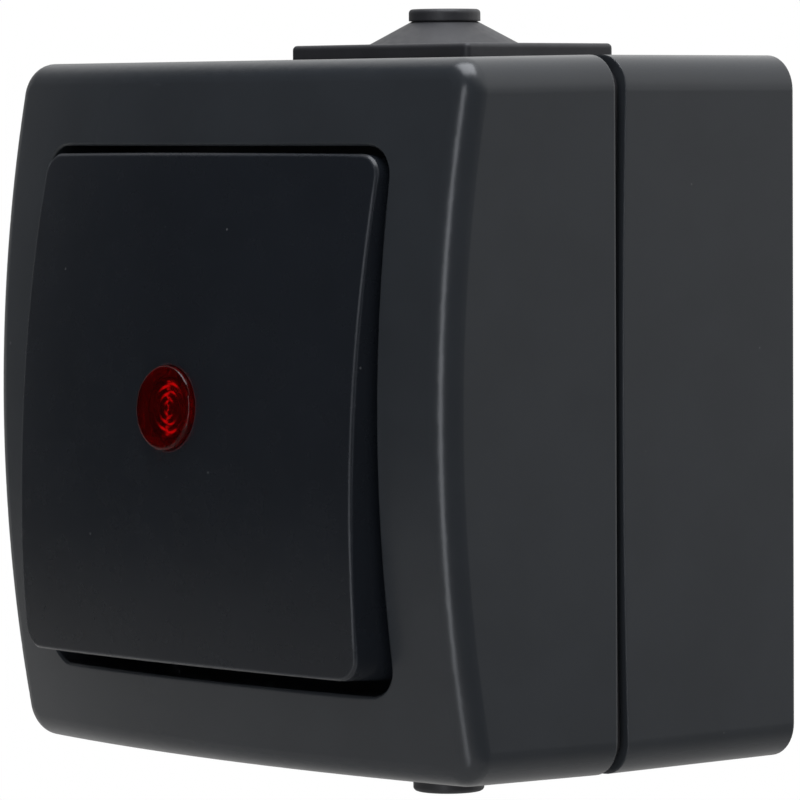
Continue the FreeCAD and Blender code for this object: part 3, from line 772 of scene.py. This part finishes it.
@dataclass
class PilotLamp(SubAssembly):
    """Glow lamp behind the lens, with its two electrodes and leads."""

    electrode_radius: float = 0.28 * MM
    electrode_spread: float = 0.75 * MM
    foot_margin: float = 1.2 * MM
    tip_margin: float = 3.4 * MM

    def dress(self, bench: Bench) -> None:
        """Finishes the lamp."""
        bench.dress(Slot.GLASS, "lamp")
        bench.dress(Slot.ZINC, "lamp_leads")

    def build(self, bench: Bench) -> None:
        """Stands two electrodes inside the glass.

        Args:
            bench: Where the finishes are.
        """
        low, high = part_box("lamp")
        for side, name in ((-1, "lower_electrode"), (1, "upper_electrode")):
            height = side * self.electrode_spread
            foot = Vector((0, high.y - self.foot_margin, height))
            tip = Vector((0, low.y + self.tip_margin, height))
            rod = wire_piece(name, [foot, (foot + tip) / 2, tip], self.electrode_radius)
            bench.seat(rod, Slot.SPRING, Body.HOUSING)


@dataclass(frozen=True)
class ScrewForm:
    """Sizes that like screws share.

    The flank is half the ridge's foot as a share of the pitch, the bite is how far that foot lies under the
    shank's surface as a share of the ridge, and plain_turns are left bare at each end of the thread.
    """

    head_radius: float
    head_height: float
    shank_radius: float
    pitch: float
    ridge: float
    flank: float = 0.42
    bite: float = 0.3
    plain_turns: int = 1
    steps: int = 20


RIDGE_CORNERS = 3
PAN_SCREW = ScrewForm(
    head_radius=2.9 * MM, head_height=2.0 * MM, shank_radius=1.45 * MM, pitch=1.1 * MM, ridge=0.22 * MM)
TERMINAL_SCREW = ScrewForm(
    head_radius=1.9 * MM, head_height=1.6 * MM, shank_radius=1.25 * MM, pitch=0.45 * MM, ridge=0.1 * MM)


@dataclass
class ScrewSet(SubAssembly):
    """A group of like screws, dressed in zinc and given their threads."""

    node: str
    form: ScrewForm

    def centres(self) -> list[tuple[float, float]]:
        """Middles of the screws, found from the group's box and its corners.

        Returns:
            The (x, z) of each screw.
        """
        reach = self.form.head_radius
        _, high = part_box(self.node)
        x, z = high.x - reach, high.z - reach
        corners = [vertex.co for vertex in frame["nodes"][self.node].data.vertices]
        spots = [(side * x, level * z) for side in (1, -1) for level in (1, -1)]
        return [
            (px, pz) for px, pz in spots
            if any(math.hypot(corner.x - px, corner.z - pz) < reach for corner in corners)]

    def thread(self, x: float, z: float) -> tuple[list[Vector], list[Face]]:
        """Ridge of a thread on one shank, fading out at both ends.

        Args:
            x: Middle of the screw across.
            z: Middle of the screw in height.

        Returns:
            Corners and faces of the ridge.
        """
        form = self.form
        low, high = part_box(self.node)
        seat = low.y + form.head_height
        turns = (high.y - seat) / form.pitch - 2 * form.plain_turns
        count = int(turns * form.steps)
        root = form.shank_radius - form.bite * form.ridge
        points: list[Vector] = []
        faces: list[Face] = []
        for step in range(count + 1):
            turn = step / form.steps
            angle = 2 * math.pi * turn
            depth = seat + form.pitch * (form.plain_turns + turn)
            fade = min(1.0, turn, (count - step) / form.steps)
            crest = form.shank_radius + form.ridge * fade
            across, upward = math.cos(angle), math.sin(angle)
            for radius, shift in ((root, -form.flank), (crest, 0.0), (root, form.flank)):
                place = (x + radius * across, depth + shift * form.pitch, z + radius * upward)
                points.append(Vector(place))
            if step:
                now = RIDGE_CORNERS * step
                last = now - RIDGE_CORNERS
                for a, b in ((0, 1), (1, 2), (2, 0)):
                    faces.append((last + a, now + a, now + b, last + b))
        end = RIDGE_CORNERS * count
        faces.append((0, 1, 2))
        faces.append((end + 2, end + 1, end))
        return points, faces

    def build(self, bench: Bench) -> None:
        """Cuts the threads of the whole group as one piece.

        Args:
            bench: Where the finishes are.
        """
        points: list[Vector] = []
        faces: list[Face] = []
        for x, z in self.centres():
            ridge_points, ridge_faces = self.thread(x, z)
            shift = len(points)
            points += ridge_points
            faces += [tuple(corner + shift for corner in face) for face in ridge_faces]
        piece = mesh_piece(self.node.removesuffix("s") + "_threads", points, faces)
        bench.seat(piece, Slot.ZINC, Body.HOUSING)

    def dress(self, bench: Bench) -> None:
        """Finishes the screws."""
        bench.dress(Slot.ZINC, self.node)


@dataclass(frozen=True)
class Softbox:
    """A plain rectangular lamp that faces the switch."""

    name: str
    place: Point
    width: float
    height: float
    radiance: float
    lights_floor: bool = True
    tint: Colour = (0.95, 0.98, 1.04)

    def build(self, aim: Vector, floor: bpy.types.Object) -> None:
        """Sets the lamp up.

        Args:
            aim: The point that it faces.
            floor: The floor, which a lamp that reaches through it leaves unlit.
        """
        lamp = bpy.data.lights.new(self.name, "AREA")
        lamp.shape = "RECTANGLE"
        lamp.size, lamp.size_y = self.width, self.height
        lamp.energy = self.radiance * math.pi * self.width * self.height
        lamp.color = self.tint
        holder = bpy.data.objects.new(self.name, lamp)
        holder.location = self.place
        holder.rotation_mode = "QUATERNION"
        holder.rotation_quaternion = (aim - Vector(self.place)).to_track_quat("-Z", "Y")
        bpy.context.scene.collection.objects.link(holder)
        if not self.lights_floor:
            unlit = bpy.data.collections.new(self.name + "_unlit")
            unlit.objects.link(floor)
            unlit.collection_objects[0].light_linking.link_state = "EXCLUDE"
            holder.light_linking.receiver_collection = unlit
        log.info("%s: softbox", self.name)


@dataclass(frozen=True)
class Floor:
    """Round pale floor below the switch, which fades out between two shares of its radius.

    The cover is how much of it shows, with a value of its own in reflections.
    """

    drop: float = 0.15
    radius: float = 1.0
    sides: int = 96
    shift: tuple[float, float] = (-0.35, -0.40)
    fade: Range = (0.55, 0.97)
    cover: float = 0.85
    gloss_cover: float = 0.45
    colour: Colour = (0.80, 0.78, 0.75)
    shade: Colour = (0.76, 0.74, 0.71)
    cloud: Cloud = Cloud(0.12)
    roughness: float = 0.8
    specular: float = 0.1

    def make(self) -> bpy.types.Material:
        """Makes a matt finish that gives way to the white room towards the rim.

        Returns:
            The material.
        """
        kit = SurfaceKit("pale_floor")
        reach = kit.number("SQRT", kit.dot(kit.place, kit.place), 0.0)
        solid, gone = (share * self.radius for share in self.fade)
        inside = kit.spread(reach, 1.0, 0.0, solid, gone)
        mirrored = kit.node("ShaderNodeLightPath").outputs["Is Glossy Ray"]
        seen = kit.between(mirrored, self.cover, self.gloss_cover)
        colour = kit.two_tone(self.cloud, self.shade, self.colour)
        kit.feed(kit.shader, Base_Color=colour, Roughness=self.roughness)
        kit.feed(kit.shader, Specular_IOR_Level=self.specular)
        mixer = kit.feed(kit.node("ShaderNodeMixShader"), Fac=kit.number("MULTIPLY", inside, seen))
        kit.fill(mixer.inputs[1], kit.node("ShaderNodeBsdfTransparent").outputs[0])
        kit.fill(mixer.inputs[2], kit.shader.outputs[0])
        kit.feed(kit.tree.nodes["Material Output"], Surface=mixer.outputs[0])
        return kit.material

    def build(self, base: float, middle: Vector) -> bpy.types.Object:
        """Lays the floor.

        Args:
            base: Height of the switch's lowest point.
            middle: Middle of the switch.

        Returns:
            The floor.
        """
        points = [Vector((0, 0, 0))]
        for side in range(self.sides):
            angle = 2 * math.pi * side / self.sides
            points.append(Vector((math.cos(angle), math.sin(angle), 0)) * self.radius)
        faces = [(0, 1 + side, 1 + (side + 1) % self.sides) for side in range(self.sides)]
        floor = mesh_piece("floor", points, faces)
        floor.location = (middle.x + self.shift[0], middle.y + self.shift[1], base - self.drop)
        floor.data.materials.append(self.make())
        log.info("%s: laid", floor.name)
        return floor


@dataclass(frozen=True)
class Room:
    """The world: white behind and above the switch, dark in front, with a weak glow behind on the left."""

    fill: float = 0.36
    dark: float = 0.012
    lean: Point = (0.08, 0.75, 0.9)
    reach: Range = (0.30, 1.05)
    glow: float = 0.30
    glow_lean: Point = (-0.5, 0.87, 0.0)
    glow_reach: Range = (0.0, 0.6)

    def build(self) -> None:
        """Makes the world.

        It is plain white to the camera and through clear pieces. Reflections show the room, and the light
        on matt surfaces has an even fill as well.
        """
        world = bpy.data.worlds.new("studio_room")
        world.use_nodes = True
        world.cycles.sampling_method = "NONE"
        bpy.context.scene.world = world
        kit = NodeKit(world.node_tree)
        look = kit.node("ShaderNodeTexCoord").outputs["Generated"]
        path = kit.node("ShaderNodeLightPath").outputs
        backdrop = kit.spread(kit.dot(look, self.lean), self.dark, 1.0, *self.reach)
        glow = kit.spread(kit.dot(look, self.glow_lean), 0.0, self.glow, *self.glow_reach)
        room = kit.number("ADD", backdrop, glow)
        lit = kit.number("ADD", room, kit.between(path["Is Glossy Ray"], self.fill, 0.0))
        white = kit.number("MAXIMUM", path["Is Camera Ray"], path["Is Transmission Ray"])
        level = kit.number("MAXIMUM", lit, white)
        kit.feed(kit.tree.nodes["Background"], Color=(1, 1, 1, 1), Strength=level)
        log.info("%s: lit", world.name)


@dataclass(frozen=True)
class PhotoCamera:
    """Camera at the photograph's viewing angle and framing, with its angles in degrees."""

    place: Point = (0.394815, -0.370175, 0.027597)
    azimuth: float = 48.336
    pitch: float = -3.1433
    roll: float = -0.3392
    clip: Range = (0.01, 20.0)
    focal_px: float = 5514.306
    centre_px: tuple[float, float] = (409.267, 417.901)
    image_px: int = 800
    sensor_mm: float = 36.0

    def turn(self) -> Matrix:
        """Works out which way the camera faces.

        Returns:
            The turn from Blender's own camera axes.
        """
        azimuth, pitch, roll = (math.radians(angle) for angle in (self.azimuth, self.pitch, self.roll))
        level = math.cos(pitch)
        forward = Vector((-math.sin(azimuth) * level, math.cos(azimuth) * level, math.sin(pitch)))
        right = forward.cross(Vector((0, 0, 1))).normalized()
        up = right.cross(forward)
        across = right * math.cos(roll) + up * math.sin(roll)
        upright = up * math.cos(roll) - right * math.sin(roll)
        return Matrix((across, upright, -forward)).transposed().to_4x4()

    def build(self) -> None:
        """Places the camera."""
        lens = bpy.data.cameras.new("photo_camera")
        lens.sensor_width = self.sensor_mm
        lens.lens = self.focal_px * self.sensor_mm / self.image_px
        lens.shift_x = (self.image_px / 2 - self.centre_px[0]) / self.image_px
        lens.shift_y = (self.centre_px[1] - self.image_px / 2) / self.image_px
        lens.clip_start, lens.clip_end = self.clip
        camera = bpy.data.objects.new("photo_camera", lens)
        camera.matrix_world = Matrix.Translation(Vector(self.place)) @ self.turn()
        bpy.context.scene.collection.objects.link(camera)
        bpy.context.scene.camera = camera
        log.info("%s: placed", camera.name)


@dataclass(frozen=True)
class Studio:
    """White room, pale floor, soft lamps and the camera."""

    floor: Floor = Floor()
    room: Room = Room()
    lamps: tuple[Softbox, ...] = (
        Softbox("top_softbox", (0.08, -0.07, 0.60), width=0.45, height=0.45, radiance=5.0),
        Softbox(
            "front_softbox", (0.34, -0.61, -0.09), width=0.18, height=1.0, radiance=3.3,
            lights_floor=False),
    )
    camera: PhotoCamera = PhotoCamera()

    def build(self) -> None:
        """Sets up floor, room, lamps and camera."""
        low, high = CAD_BOX
        middle = (low + high) / 2
        floor = self.floor.build(low.z, middle)
        self.room.build()
        for lamp in self.lamps:
            lamp.build(middle, floor)
        self.camera.build()
        bpy.context.scene.view_settings.view_transform = "Standard"


def main() -> None:
    """Builds and dresses the switch, then the studio around it."""
    logging.basicConfig(level=logging.INFO, format="%(name)s: %(message)s")
    bench = Bench()
    groups: tuple[SubAssembly, ...] = (
        Housing(), CableEntries(), RockerGroup(), SwitchInsert(), ContactSet(), PilotLamp(),
        ScrewSet("cover_screws", PAN_SCREW), ScrewSet("plate_screws", PAN_SCREW),
        ScrewSet("terminal_screws", TERMINAL_SCREW))
    for group in groups:
        group.dress(bench)
        group.build(bench)
        log.info("%s: finished", type(group).__name__)
    Studio().build()


if __name__ == "__main__":
    main()
